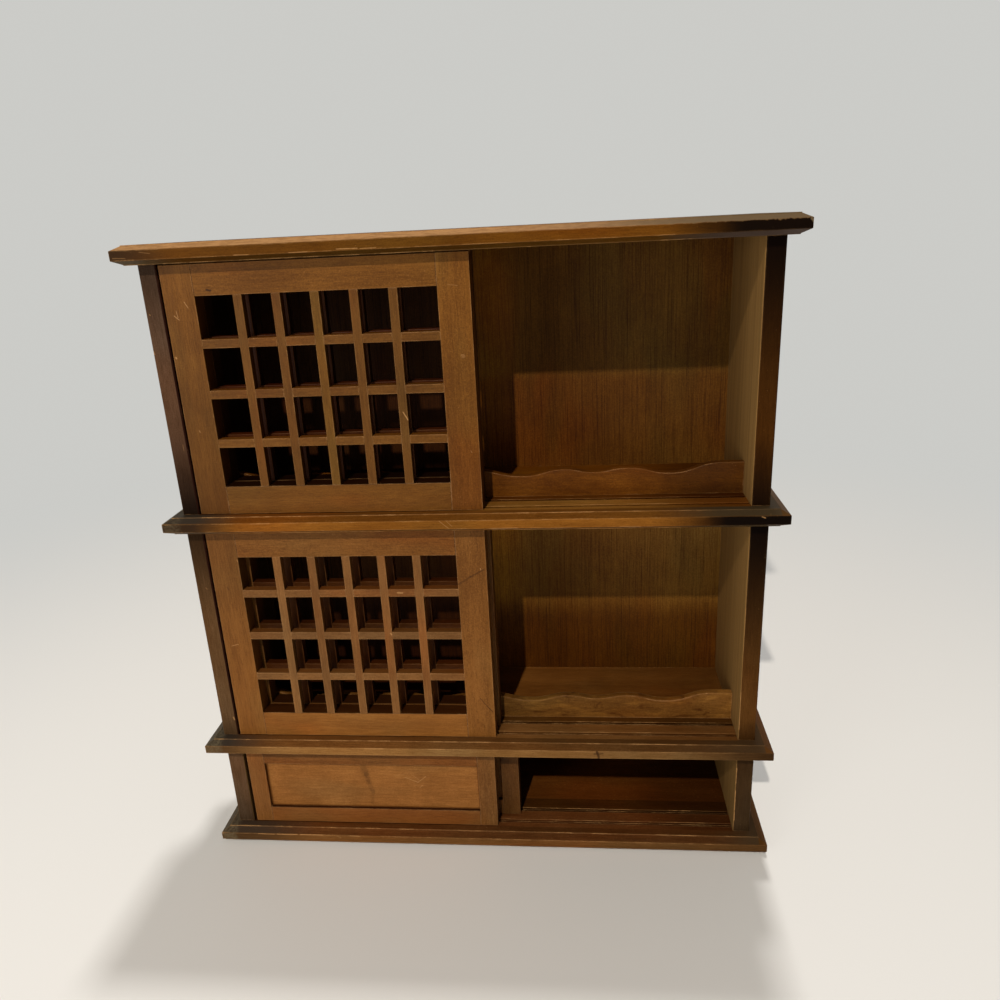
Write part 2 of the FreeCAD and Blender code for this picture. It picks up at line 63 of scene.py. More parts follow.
# shader nodes
class Wire:  # one output of a shader node; sums on it become Math nodes
    def __init__(self, socket):
        self.socket = socket
        self.tree = socket.id_data

    def calc(self, operation, *values):
        return addNode(self.tree, "ShaderNodeMath", {"operation": operation}, dict(enumerate(values)))

    def __add__(self, other):
        return self.calc("ADD", self, other)

    def __radd__(self, other):
        return self.calc("ADD", other, self)

    def __sub__(self, other):
        return self.calc("SUBTRACT", self, other)

    def __rsub__(self, other):
        return self.calc("SUBTRACT", other, self)

    def __mul__(self, other):
        return self.calc("MULTIPLY", self, other)

    def __rmul__(self, other):
        return self.calc("MULTIPLY", other, self)

    def __truediv__(self, other):
        return self.calc("DIVIDE", self, other)

    def least(self, other):
        return self.calc("MINIMUM", self, other)

    def most(self, other):
        return self.calc("MAXIMUM", self, other)

    def size(self):
        return self.calc("ABSOLUTE", self)

    def floor(self):
        return self.calc("FLOOR", self)

    def fade(self, low, high):  # 0 at low, 1 at high, smooth between
        return addNode(self.tree, "ShaderNodeMapRange", {"interpolation_type": "SMOOTHSTEP"},
                       {"Value": self, "From Min": low, "From Max": high})

    def past(self, edge, blur=0.0004):  # 0 up to an edge, 1 beyond it
        return self.fade(edge, edge + blur)

    def span(self, low, high):  # low where this is 0, high where it is 1
        return self * (high - low) + low

    def sway(self, reach):  # noise as a change to either side
        return (self - 0.5) * reach


def addNode(tree, kind, settings=None, sockets=None, output=0):
    node = tree.nodes.new(kind)
    for name, value in (settings or {}).items():
        if name == "stops":
            ramp = node.color_ramp
            while len(ramp.elements) < len(value):
                ramp.elements.new(0.5)
            for stop, (place, colour) in zip(ramp.elements, value):
                stop.position = place
                stop.color = (*colour, 1)
        else:
            setattr(node, name, value)
    for name, value in (sockets or {}).items():
        if isinstance(value, Wire):
            tree.links.new(value.socket, node.inputs[name])
        else:
            node.inputs[name].default_value = value
    return Wire(node.outputs[output]) if node.outputs else None


def newMaterial(name):
    material = bpy.data.materials.new(name)
    material.use_nodes = True
    material.node_tree.nodes.clear()
    return material, material.node_tree


def mixColours(factor, first, second, blend="MIX"):
    first, second = [side if isinstance(side, Wire) else (*side, 1) for side in (first, second)]
    settings = {"data_type": "RGBA", "blend_type": blend}
    return addNode(factor.tree, "ShaderNodeMix", settings, {0: factor, 6: first, 7: second}, output=2)


def noise(place, scale, detail=2.0, roughness=0.5, distortion=0.0):
    sockets = {"Vector": place, "Scale": scale, "Detail": detail, "Roughness": roughness, "Distortion": distortion}
    return addNode(place.tree, "ShaderNodeTexNoise", {"noise_dimensions": "3D"}, sockets)


def stretch(place, scale, offset=(0.0, 0.0, 0.0)):
    sockets = {"Vector": place, "Location": offset, "Scale": scale}
    return addNode(place.tree, "ShaderNodeMapping", {"vector_type": "POINT"}, sockets)


def vectorMath(operation, first, second, output=0):
    settings = {"operation": operation}
    return addNode(first.tree, "ShaderNodeVectorMath", settings, {0: first, 1: second}, output)


def splitPlace(place):
    return [addNode(place.tree, "ShaderNodeSeparateXYZ", {}, {"Vector": place}, axis) for axis in "XYZ"]


# lacquered wood
def paint(red, green, blue):  # a screen colour as the shaders take it
    parts = [part / 255 for part in (red, green, blue)]
    return tuple(part / 12.92 if part < 0.04 else ((part + 0.055) / 1.055) ** 2.4 for part in parts)


baseWood = {
    "colour": paint(122, 75, 30), "tone": 1.0, "shift": (1.37, 2.11, 0.73),
    "stops": ((0.0, 0.40, 0.30, 0.20), (0.42, 0.86, 0.84, 0.80), (0.58, 1.12, 1.14, 1.18), (1.0, 1.75, 1.95, 2.4)),
    "bands": 0.50, "bandScale": (7, 95), "fibre": 0.50, "fibreScale": (90, 1300),
    "cloud": 0.40, "cloudScale": 26.0, "speck": 0.50, "speckScale": 1500.0,
    "pores": 0.16, "poreScale": (260, 2600), "poreFrom": (0.60, 0.72),
    "drift": 0.8, "driftScale": (9, 26), "warm": (1.10, 0.90, 0.72), "warmFrom": (0.52, 0.68),
    "cool": (0.92, 1.04, 1.22), "coolFrom": (0.32, 0.48),
    # pale edges: worn wood in patches and a painted highlight along every edge
    "rubbed": paint(170, 126, 80), "wear": 0.75, "wearReach": 0.0009, "wearBend": (0.015, 0.11),
    "wearScale": (60, 220), "wearFrom": (0.48, 0.58), "wearPatches": (0.3, 1.0), "calmed": 0.85,
    "flecks": 0.5, "fleckFrom": (0.74, 0.80), "fleckPatch": (0.45, 0.60),
    "relief": 0.25, "reliefDepth": 0.0002, "fibreHeight": 0.6, "cloudHeight": 1.2, "poreDepth": 0.8,
    "roughness": 0.45, "fibreRoughness": 0.1, "rubbedRoughness": 0.12, "sheen": 0.09,
}


def woodStops(wood):  # from the dark of the grain to its light
    return [(place, tuple(part * wood["tone"] * share for part, share in zip(wood["colour"], shares)))
            for place, *shares in wood["stops"]]


def alongAxis(axis, along, across):
    scale = [across] * 3
    scale[axis] = along
    return tuple(scale)


def wornAndHighlitEdges(place, wood, patchy):  # where an edge is worn through to paler wood, with an even share on every edge that is a painted highlight
    soft = addNode(place.tree, "ShaderNodeBevel", {"samples": 4}, {"Radius": wood["wearReach"]})
    hard = addNode(place.tree, "ShaderNodeNewGeometry", output="Normal")
    bent = 1.0 - vectorMath("DOT_PRODUCT", soft, hard, "Value")
    rubbed = bent.fade(*wood["wearBend"]) * patchy.fade(*wood["wearFrom"]).span(*wood["wearPatches"])
    if "calm" in wood:  # scorched too deep to rub through
        rubbed = rubbed * (1.0 - splitPlace(place)[0].fade(*wood["calm"]) * wood["calmed"])
    return rubbed


def makeWood(name, wood, axis, seed, layers, marks=()):  # the grain runs along the axis
    material, tree = newMaterial(name)
    place = addNode(tree, "ShaderNodeTexCoord", output="Object")
    offset = tuple(seed * step for step in wood["shift"])
    even = stretch(place, (1.0, 1.0, 1.0), offset)

    def grain(scale, *rest):
        return noise(stretch(place, alongAxis(axis, *wood[scale]), offset), 1.0, *rest)

    bands = grain("bandScale", 3.0, 0.55, 0.35)
    fibre = grain("fibreScale", 2.0, 0.65)
    pits = grain("poreScale", 1.0).fade(*wood["poreFrom"])
    cloud = noise(even, wood["cloudScale"], 3.0, 0.6)
    speck = noise(even, wood["speckScale"], 1.0)
    tone = 0.5 + bands.sway(wood["bands"]) + fibre.sway(wood["fibre"]) + cloud.sway(wood["cloud"])
    tone = tone - pits * wood["pores"] + speck.sway(wood["speck"])
    colour = addNode(tree, "ShaderNodeValToRGB", {"stops": woodStops(wood)}, {"Fac": tone})
    drift = grain("driftScale", 2.0)
    colour = mixColours(drift.fade(*wood["warmFrom"]) * wood["drift"], colour, wood["warm"], "MULTIPLY")
    colour = mixColours((1.0 - drift.fade(*wood["coolFrom"])) * wood["drift"], colour, wood["cool"], "MULTIPLY")
    for mask, shade, blend in layers(place, cloud):
        colour = mixColours(mask, colour, shade, blend)

    rubbed = wornAndHighlitEdges(place, wood, grain("wearScale", 4.0, 0.75))
    flecks = speck.fade(*wood["fleckFrom"]) * cloud.fade(*wood["fleckPatch"])
    # pale edges, part wear and part painted highlight, and pale flecks
    colour = mixColours((rubbed * wood["wear"]).most(flecks * wood["flecks"]), colour, wood["rubbed"])
    for each in marks:
        colour = mixColours(markMask(place, each), colour, each["colour"])

    height = fibre * wood["fibreHeight"] + cloud.sway(wood["cloudHeight"]) - pits * wood["poreDepth"]
    relief = {"Strength": wood["relief"], "Distance": wood["reliefDepth"], "Height": height}
    gloss = wood["roughness"] + fibre.sway(wood["fibreRoughness"]) + rubbed * wood["rubbedRoughness"]
    shader = addNode(tree, "ShaderNodeBsdfPrincipled", {}, {
        "Base Color": colour, "Roughness": gloss, "Specular IOR Level": wood["sheen"],
        "Normal": addNode(tree, "ShaderNodeBump", {}, relief)})
    addNode(tree, "ShaderNodeOutputMaterial", {}, {"Surface": shader})
    return material


# scratches, dents and stains
markFinish = {
    # the pale grey mark colour is part dust and part painted reflection
    "pale": paint(172, 128, 80), "dark": paint(44, 23, 11), "wood": paint(112, 70, 28), "dustAndReflection": paint(118, 98, 70),
    "core": 0.4, "raggedScale": 900.0,
}


def mark(start, end, width, depth, colour="pale", face=-42.0):  # ends as (x, z) on the face at that y, in millimetres
    ends = [(x / 1000, face / 1000, z / 1000) for x, z in (start, end)]
    return {"from": ends[0], "to": ends[1], "width": width / 1000, "depth": depth, "colour": markFinish[colour]}


def markMask(place, each):  # 1 near the line between its ends
    start, width = Vector(each["from"]), each["width"]
    run = Vector(each["to"]) - start
    away = vectorMath("SUBTRACT", place, start)
    share = (vectorMath("DOT_PRODUCT", away, run, "Value") / max(run.length_squared, 1e-9)).least(1.0).most(0.0)
    nearest = addNode(place.tree, "ShaderNodeVectorMath", {"operation": "SCALE"}, {0: run, "Scale": share})
    distance = vectorMath("DISTANCE", away, nearest, "Value")
    ragged = noise(place, markFinish["raggedScale"]).sway(width)
    return (1.0 - (distance + ragged).fade(width * markFinish["core"], width)) * each["depth"]


# edges of the flat-faced pieces, angles in degrees
easing = {"join": 0.00001, "flat": 1, "sharp": 30, "segments": 2}


def easeEdges(piece, width):
    join = piece.modifiers.new("join", "WELD")
    join.merge_threshold = easing["join"]
    flat = piece.modifiers.new("flat", "DECIMATE")
    flat.decimate_type = "DISSOLVE"
    flat.angle_limit = math.radians(easing["flat"])
    ease = piece.modifiers.new("ease", "BEVEL")
    ease.limit_method = "ANGLE"
    ease.angle_limit = math.radians(easing["sharp"])
    ease.width = width
    ease.segments = easing["segments"]


def dress(name, material, width):
    piece = nodes[name]
    for slot in piece.material_slots:
        slot.link = "OBJECT"
        slot.material = material
    easeEdges(piece, width)


# moulded boards, scorched towards their ends: where the scorch starts and is full, its depth on nose and on slopes
# edge is painted shade on the outer bevels
boards = {
    "base_board": {
        "colour": paint(121, 82, 42), "tone": 0.80, "dim": 0.70, "edge": (0.62, 0.50, 0.45),
        "floor": (0.76, 0.53, 0.29), "tracks": (0.97, 0.75, 0.71), "end": 0.9, "dustAndReflectionDepth": 0.55,
        "left": (0.115, 0.170, 0.66, 0.86), "right": (0.144, 0.192, 0.30, 0.86)},
    "lower_shelf": {
        "colour": paint(130, 91, 48), "tone": 1.13, "dim": 0.56, "edge": (0.57, 0.47, 0.38),
        "floor": (0.80, 0.62, 0.38), "tracks": (1.05, 0.89, 0.75), "end": 0.3, "dustAndReflectionDepth": 0.60,
        "left": (0.130, 0.178, 0.76, 1.0), "right": (0.110, 0.190, 0.72, 0.72)},
    "upper_shelf": {
        "colour": paint(122, 75, 23), "tone": 1.04, "dim": 0.98, "edge": (0.64, 0.62, 0.69),
        "floor": (0.62, 0.53, 0.28), "tracks": (1.22, 1.37, 1.75), "end": 1.0, "dustAndReflectionDepth": 0.30,
        "left": (0.132, 0.172, 0.98, 1.0), "right": (0.105, 0.155, 1.0, 0.98)},
    "top_board": {
        "colour": paint(124, 75, 18), "tone": 0.48, "dim": 1.28, "edge": (0.60, 0.55, 0.50),
        "floor": (0.70, 0.60, 0.50), "tracks": (1.00, 1.00, 1.00), "end": 0.0, "dustAndReflectionDepth": 0.0,
        "left": (0.150, 0.188, 0.85, 0.85), "right": (0.110, 0.155, 0.99, 0.98)},
}
boardFinish = {
    "width": 0.00015, "seed": 3.0, "sheen": 0.03, "wear": 0.90, "rubbed": paint(184, 138, 86), "dimX": (-0.13, 0.16),
    "scorched": {"left": paint(46, 31, 18), "right": paint(12, 5, 2)},
    "scorchedSlope": {"left": paint(54, 45, 36), "right": paint(60, 48, 31)},
    "scorchedUnder": {"left": paint(86, 70, 46), "right": paint(74, 60, 52)}, "wander": 0.03,
    # behindDoors, cornerShade, grooveShade and each board's floor are painted shade
    "behindDoors": (0.17, 0.12, 0.08), "doorsX": (-0.03, 0.03), "tracksX": (-0.03, 0.0),
    "rightEnd": (0.46, 0.42, 0.38), "rightEndX": (0.085, 0.150),
    "cornerShade": (0.42, 0.32, 0.18), "grooveShade": (0.42, 0.34, 0.25),
    "grooveFoot": (0.0040, 0.0045), "grooveHead": (0.0003, 0.0009),
    "wornAndHighlitBevel": paint(172, 128, 82), "wornAndHighlitFrom": (0.40, 0.58), "wornAndHighlitSpan": (0.55, 0.85), "wornAndHighlitScale": (160, 700, 700),
    "oldBevel": paint(86, 70, 46), "oldX": (0.02, 0.15), "oldWander": 0.08, "oldDepth": 0.9,
    "raggedScale": 260.0, "raggedMiddle": 0.40, "raggedX": (0.09, 0.13), "raggedHeight": 0.0036,
    "topGrain": (16, 520), "topGrainFrom": (0.38, 0.70), "topGrainDepth": 0.34, "spared": 0.9,
    # pale grey on the left corners: part dust, part painted reflection
    "dustAndReflection": paint(106, 95, 72), "dustAndReflectionX": (0.1765, 0.1815),
    "dustAndReflectionScale": 620.0, "dustAndReflectionFrom": (0.38, 0.60), "dustAndReflectionPatches": (0.2, 1.0),
    "underBevel": (0.70, 0.82, 1.35), "endSlope": (1.45, 1.00, 0.45),
    "slope": (0.0026, 0.0031), "rimX": (0.1846, 0.1852), "rimY": (-0.0472, -0.0466),
    "innerX": 0.1692, "frontY": -0.0425, "backY": 0.0490, "behindTracks": -0.0245, "behindRail": -0.0130,
}


def boardLayers(name, board):
    low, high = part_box(name)
    middle = (low.z + high.z) / 2
    finish = boardFinish
    isTop = name == "top_board"

    def layers(place, cloud):
        x, y, z = splitPlace(place)
        inside = (1.0 - x.size().past(finish["innerX"])) * y.past(finish["frontY"]) * (1.0 - y.past(finish["backY"]))
        if isTop:  # only its underside looks into the cabinet
            inside = inside * (1.0 - z.past(middle, blur=0.0005))
        if name == "base_board":
            inside = inside * z.past(middle - 0.0005, blur=0.0005)
        slopes = (z - middle).size().fade(*finish["slope"])
        outer = slopes * (1.0 - inside)
        below = 1.0 - z.past(middle, blur=0.001)
        found = [(x.fade(*finish["dimX"]), (board["dim"],) * 3, "MULTIPLY")]
        if isTop:  # its upper bevel is worn pale and painted with a highlight on the left, grey on the right, and ragged there
            rim = (1.0 - y.fade(*finish["rimY"])).most(x.size().fade(*finish["rimX"]))
            ragged = (noise(place, finish["raggedScale"], 3.0, 0.7) - finish["raggedMiddle"]) * finish["raggedHeight"]
            upper = (z - middle + ragged * x.fade(*finish["raggedX"])).fade(*finish["slope"]) * rim
            scuffsAndHighlight = noise(stretch(place, finish["wornAndHighlitScale"]), 1.0, 3.0, 0.7).fade(*finish["wornAndHighlitFrom"])
            aged = (x + cloud.sway(finish["oldWander"])).fade(*finish["oldX"])
            # the pale upper bevel is part wear and part painted highlight
            found += [(upper * scuffsAndHighlight.span(*finish["wornAndHighlitSpan"]), finish["wornAndHighlitBevel"], "MIX"),
                      (upper * aged * finish["oldDepth"], finish["oldBevel"], "MIX"),
                      (outer * below, finish["underBevel"], "MULTIPLY")]
        else:
            # painted shade on the outer bevels, which turn away from the light
            found.append((outer, board["edge"], "MULTIPLY"))

        inner = slopes * inside  # tracks, the corner behind them and the floor; the corner, the floor, the grooves and the part behind the doors get painted shade
        behind = y.past(finish["behindTracks"], blur=0.0005)
        farther = y.past(finish["behindRail"], blur=0.0005)
        groove = (z - low.z).fade(*finish["grooveFoot"]) * (high.z - z).fade(*finish["grooveHead"]) * inside
        found += [(inner * (1.0 - behind) * x.fade(*finish["tracksX"]), board["tracks"], "MULTIPLY"),
                  (inner * x.fade(*finish["rightEndX"]) * board["end"], finish["rightEnd"], "MULTIPLY"),
                  (inner * behind * (1.0 - farther), finish["cornerShade"], "MULTIPLY"),
                  (inner * farther, board["floor"], "MULTIPLY"), (groove, finish["grooveShade"], "MULTIPLY"),
                  (inside * (1.0 - x.fade(*finish["doorsX"])), finish["behindDoors"], "MULTIPLY")]

        wander = cloud.sway(finish["wander"])
        for side, outward in (("left", -1.0), ("right", 1.0)):
            start, end, onNose, onSlope = board[side]
            reach = (x * outward + wander).fade(start, end) * (1.0 - inside)
            if isTop:  # grain shows through the scorch on the top face
                grain = noise(stretch(place, alongAxis(0, *finish["topGrain"])), 1.0, 4.0, 0.65)
                shown = grain.fade(*finish["topGrainFrom"]) * (1.0 - rim) * finish["topGrainDepth"]
                reach = reach * (1.0 - upper * finish["spared"]) * (1.0 - shown)
            found += [((reach - reach * outer) * onNose, finish["scorched"][side], "MIX"),
                      (reach * outer * onSlope, finish["scorchedSlope"][side], "MIX")]
            if isTop:
                found.append((reach * outer * below * onSlope, finish["scorchedUnder"][side], "MIX"))
        if board["dustAndReflectionDepth"]:  # left corners rubbed pale grey, part dust and part painted reflection; right end slopes browner
            rough = noise(place, finish["dustAndReflectionScale"], 3.0, 0.75).fade(*finish["dustAndReflectionFrom"])
            corner = (0.0 - x).fade(*finish["dustAndReflectionX"]) * rough.span(*finish["dustAndReflectionPatches"]) * (1.0 - inside)
            found += [(corner * board["dustAndReflectionDepth"], finish["dustAndReflection"], "MIX"),
                      (outer * x.fade(*finish["rimX"]), finish["endSlope"], "MULTIPLY")]
        return found
    return layers


def nosed(*marks):  # marks on the board's nose
    return [mark(*each, face=-52.0) for each in marks]


boardMarks = {
    "base_board": nosed(
        ((-163.0, 8.1), (-151.0, 8.0), 0.375, 0.6), ((-149.0, 8.0), (-134.5, 8.1), 0.45, 0.7),
        ((-132.3, 8.1), (-116.2, 8.2), 0.45, 0.75), ((-96.0, 8.1), (-89.0, 7.8), 0.45, 0.55),
        ((-105.5, 7.6), (-103.0, 6.2), 0.375, 0.4), ((20.0, 8.1), (31.0, 8.1), 0.3, 0.35),
        ((-58.0, 3.1), (-49.0, 3.0), 0.3, 0.4)),
    "lower_shelf": nosed(
        ((-78.4, 81.1), (-65.4, 81.1), 0.45, 0.6), ((-34.8, 81.2), (-23.3, 81.1), 0.375, 0.5),
        ((-150.0, 80.9), (-139.0, 81.1), 0.45, 0.35), ((77.2, 80.6), (78.4, 76.4), 1.125, 0.75, "dark"),
        ((75.4, 79.2), (81.0, 79.6), 0.9, 0.5, "dark"), ((112.0, 76.0), (126.0, 76.1), 0.3, 0.4)),
    "upper_shelf": nosed(
        ((-15.6, 243.6), (-9.9, 238.5), 0.2625, 0.55), ((-11.3, 243.6), (-7.9, 239.9), 0.225, 0.45),
        ((14.9, 238.4), (31.7, 238.5), 0.3375, 0.6), ((-133.0, 243.4), (-121.0, 243.5), 0.3, 0.35),
        ((92.0, 238.6), (104.0, 238.5), 0.3, 0.4), ((173.4, 243.3), (175.2, 242.6), 0.45, 0.5)),
    "top_board": nosed(
        ((-118.0, 401.1), (-110.1, 400.9), 0.3375, 0.5), ((-87.0, 400.9), (-76.8, 401.0), 0.375, 0.55),
        ((-60.6, 401.7), (-49.0, 401.6), 0.3375, 0.65), ((-47.3, 401.3), (-38.5, 401.5), 0.3, 0.5),
        ((188.8, 405.6), (190.0, 404.2), 0.75, 0.6, "dustAndReflection"), ((-172.0, 405.0), (-166.0, 404.0), 0.3, 0.25),
        ((-188.0, 402.3), (-181.0, 402.0), 0.375, 0.25)),
}

for number, (name, board) in enumerate(boards.items()):
    wood = dict(baseWood, colour=board["colour"], tone=board["tone"], calm=board["right"][:2],
                sheen=boardFinish["sheen"], wear=boardFinish["wear"], rubbed=boardFinish["rubbed"])
    seed = boardFinish["seed"] + number
    material = makeWood(name, wood, 0, seed, boardLayers(name, board), boardMarks[name])
    dress(name, material, boardFinish["width"])


# side panels, dark at the head and the foot of their front edges: how far and how deep; inner sets the inner face's
# tone, low on the left panels as painted shade
sides = {
    "lower_left": {"tone": 0.62, "inner": 0.35, "colour": paint(105, 81, 59),
                   "foot": (0.030, 0.40), "head": (0.010, 0.15)},
    "lower_right": {"tone": 0.26, "inner": 0.66, "colour": paint(110, 79, 47),
                    "foot": (0.012, 0.20), "head": (0.006, 0.10)},
    "middle_left": {"tone": 0.60, "inner": 0.30, "colour": paint(112, 80, 49),
                    "foot": (0.020, 0.35), "head": (0.070, 0.70)},
    "middle_right": {"tone": 0.52, "inner": 0.80, "colour": paint(114, 73, 31),
                     "foot": (0.022, 0.55), "head": (0.145, 0.99)},
    "upper_left": {"tone": 0.56, "inner": 0.12, "colour": paint(106, 80, 61),
                   "foot": (0.080, 0.92), "head": (0.045, 0.45)},
    "upper_right": {"tone": 0.26, "inner": 0.86, "colour": paint(119, 70, 22),
                    "foot": (0.050, 0.85), "head": (0.120, 0.97)},
}
sideFinish = {
    "width": 0.0002, "seed": 11.0, "sheen": 0.02, "scorched": paint(10, 4, 2), "wander": 0.016, "tenon": 0.0045,
    # the inner colour is partly a painted reflection, and the darkening with depth is painted shade
    "innerX": 0.1692, "innerColour": paint(165, 127, 74), "innerDepth": (0.68, 0.64, 0.60), "depthY": (-0.035, 0.030),
    "streakScale": (400, 400, 8), "streakFrom": (0.25, 0.75), "streaks": (0.65, 1.0),
    # arris: painted shadow on the front arris of these panels
    "arrisShadowPanels": ("middle_left", "upper_left"), "arris": paint(30, 9, 5), "arrisX": (0.1700, 0.1703),
    "arrisY": (-0.040, -0.036),
}
sideMarks = {
    "upper_left": [
        mark((-179.6, 348.4), (-179.4, 347.4), 0.75, 0.8, face=-41.5),
        mark((-179.5, 338.0), (-179.3, 337.0), 0.6, 0.7, face=-41.5),
        mark((-178.4, 329.2), (-178.2, 328.6), 0.525, 0.7, face=-41.5),
        mark((-177.9, 370.2), (-177.6, 369.8), 0.3, 0.6),
        mark((-172.0, 292.0), (-171.9, 288.0), 0.225, 0.3)],
    "middle_left": [
        mark((-171.0, 98.0), (-170.6, 96.0), 0.6, 0.6), mark((-174.0, 196.0), (-173.2, 195.0), 0.375, 0.3)],
    "lower_right": [
        mark((169.3, 62.0), (169.2, 50.0), 0.375, 0.8), mark((169.2, 44.0), (169.3, 20.0), 0.45, 0.9),
        mark((169.0, 20.0), (168.8, 15.0), 0.675, 0.8)],
    "middle_right": [
        mark((169.2, 120.0), (169.3, 92.0), 0.375, 0.7), mark((169.3, 180.0), (169.2, 150.0), 0.3, 0.5)],
}


def sideLayers(key, side):
    finish = sideFinish
    low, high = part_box(f"{key}_side_panel")
    bottom, top = low.z + finish["tenon"], high.z - finish["tenon"]

    def layers(place, cloud):
        x, y, z = splitPlace(place)
        inner = 1.0 - x.size().past(finish["innerX"], blur=0.0003)
        z = z + cloud.sway(finish["wander"])
        foot = (1.0 - z.fade(bottom, bottom + side["foot"][0])) * side["foot"][1]
        head = z.fade(top - side["head"][0], top) * side["head"][1]
        streaky = noise(stretch(place, finish["streakScale"]), 1.0, 3.0, 0.6).fade(*finish["streakFrom"])
        # inner faces: pale olive, partly a painted reflection, and darker towards the back as painted shade
        innerColour = tuple(part * side["inner"] for part in finish["innerColour"])
        found = [(inner * streaky.span(*finish["streaks"]), innerColour, "MIX"),
                 (inner * y.fade(*finish["depthY"]), finish["innerDepth"], "MULTIPLY"),
                 (foot.most(head) * (1.0 - inner), finish["scorched"], "MIX")]
        if key in finish["arrisShadowPanels"]:  # painted shadow along the arris that the doors close on, standing in for a shaded gap
            arris = (1.0 - x.size().fade(*finish["arrisX"])) * (1.0 - y.fade(*finish["arrisY"]))
            found.append((arris, finish["arris"], "MIX"))
        return found
    return layers


for number, (key, side) in enumerate(sides.items()):
    name = f"{key}_side_panel"
    wood = dict(baseWood, colour=side["colour"], tone=side["tone"], sheen=sideFinish["sheen"])
    seed = sideFinish["seed"] + number
    material = makeWood(name, wood, 2, seed, sideLayers(key, side), sideMarks.get(key, ()))
    dress(name, material, sideFinish["width"])


# plywood back, its grain upright and open
backWood = dict(
    baseWood, colour=paint(90, 53, 11), bands=0.35, fibre=0.60, pores=0.34, cloud=0.50, speck=0.60,
    poreScale=(18, 2600), poreFrom=(0.50, 0.70), relief=0.4, roughness=0.6, wear=0.0, flecks=0.0,
)
backFinish = {
    "width": 0.0001, "seed": 21.0, "frontY": (0.0495, 0.0500), "outside": (1.35, 1.40, 1.70),
    # middle bay: darker and redder low down as painted shade, lighter and greyer higher up as painted light
    "middleFrom": (0.078, 0.082), "middleTo": (0.236, 0.240), "low": (0.66, 0.53, 0.18),
    "paintedLight": (1.46, 1.57, 1.45), "paintedLightZ": (0.122, 0.153), "paintedLightMost": (1.66, 1.72, 2.40), "mostZ": (0.155, 0.225),
    "upperFrom": (0.241, 0.243), "lit": (0.94, 0.86, 0.62), "shaded": (1.02, 1.10, 0.92), "shadedZ": (0.306, 0.316),
    "olive": (0.95, 1.12, 1.60), "oliveX": (0.02, 0.15), "oliveClouds": (0.5, 1.0),
    "behindDoors": (0.36, 0.30, 0.24), "doorsX": (-0.03, 0.0),
    "beside": (1.55, 1.55, 1.05), "besideFrom": (-0.02, 0.0), "besideTo": (0.010, 0.034),
}


def backLayers(place, cloud):  # painted light makes the upper part of the middle bay lighter and greyer, painted shade the part below darker; the upper bay is tinted apart where lit and where shaded
    finish = backFinish
    x, y, z = splitPlace(place)
    inFront = 1.0 - y.fade(*finish["frontY"])
    middleBay = z.fade(*finish["middleFrom"]) * (1.0 - z.fade(*finish["middleTo"])) * inFront
    upperBay = z.fade(*finish["upperFrom"]) * inFront
    paintedLight = middleBay * z.fade(*finish["paintedLightZ"])
    shaded = upperBay * z.fade(*finish["shadedZ"])
    # painted light: a lighter band on the back just beside the doors
    beside = x.fade(*finish["besideFrom"]) * (1.0 - x.fade(*finish["besideTo"])) * inFront
    masks = {
        "paintedLight": paintedLight, "paintedLightMost": middleBay * z.fade(*finish["mostZ"]), "low": middleBay - paintedLight,
        "lit": upperBay - shaded, "shaded": shaded, "outside": 1.0 - inFront,
        # olive: greener and paler towards the right, a painted reflection
        "olive": x.fade(*finish["oliveX"]) * cloud.span(*finish["oliveClouds"]) * inFront, "beside": beside,
        # painted shade on the back behind the doors
        "behindDoors": (1.0 - x.fade(*finish["doorsX"])) * inFront,
    }
    return [(mask, finish[name], "MULTIPLY") for name, mask in masks.items()]


dress("back_panel", makeWood("back_panel", backWood, 2, backFinish["seed"], backLayers), backFinish["width"])


# small tacks that hold the back, driven through it into the side panels and the boards
tacks = {
    "curve": 0.0021, "proud": 0.00030, "flat": 0.00008, "sunk": 0.00040, "round": (14, 12), "smooth": 35,
    "sideX": 0.1714, "sideZ": (0.042, 0.108, 0.160, 0.212, 0.270, 0.322, 0.374),
    "rows": {0.0086: 5, 0.0785: 4, 0.2410: 4, 0.4004: 5}, "rowReach": 0.145, "astray": 0.0008, "seed": 5,
    "steel": paint(84, 76, 68), "rust": paint(92, 52, 28), "rustScale": 900.0, "rustFrom": (0.44, 0.60),
    "metal": (1.0, 0.2), "roughness": (0.46, 0.81), "dentScale": 2400.0, "dents": 0.3, "dentDepth": 0.0001,
}


def makeIron():
    material, tree = newMaterial("tack_iron")
    place = addNode(tree, "ShaderNodeTexCoord", output="Object")
    rusty = noise(place, tacks["rustScale"], 3.0, 0.7).fade(*tacks["rustFrom"])
    dents = {"Strength": tacks["dents"], "Distance": tacks["dentDepth"], "Height": noise(place, tacks["dentScale"])}
    shader = addNode(tree, "ShaderNodeBsdfPrincipled", {}, {
        "Base Color": mixColours(rusty, tacks["steel"], tacks["rust"]), "Metallic": rusty.span(*tacks["metal"]),
        "Roughness": rusty.span(*tacks["roughness"]), "Normal": addNode(tree, "ShaderNodeBump", {}, dents)})
    addNode(tree, "ShaderNodeOutputMaterial", {}, {"Surface": shader})
    return material


def cutLevel(y, **side):  # cut the mesh in edit mode square to y and close it
    bpy.ops.mesh.select_all(action="SELECT")
    bpy.ops.mesh.bisect(plane_co=(0, y, 0), plane_no=(0, 1, 0), use_fill=True, threshold=0.000001, **side)


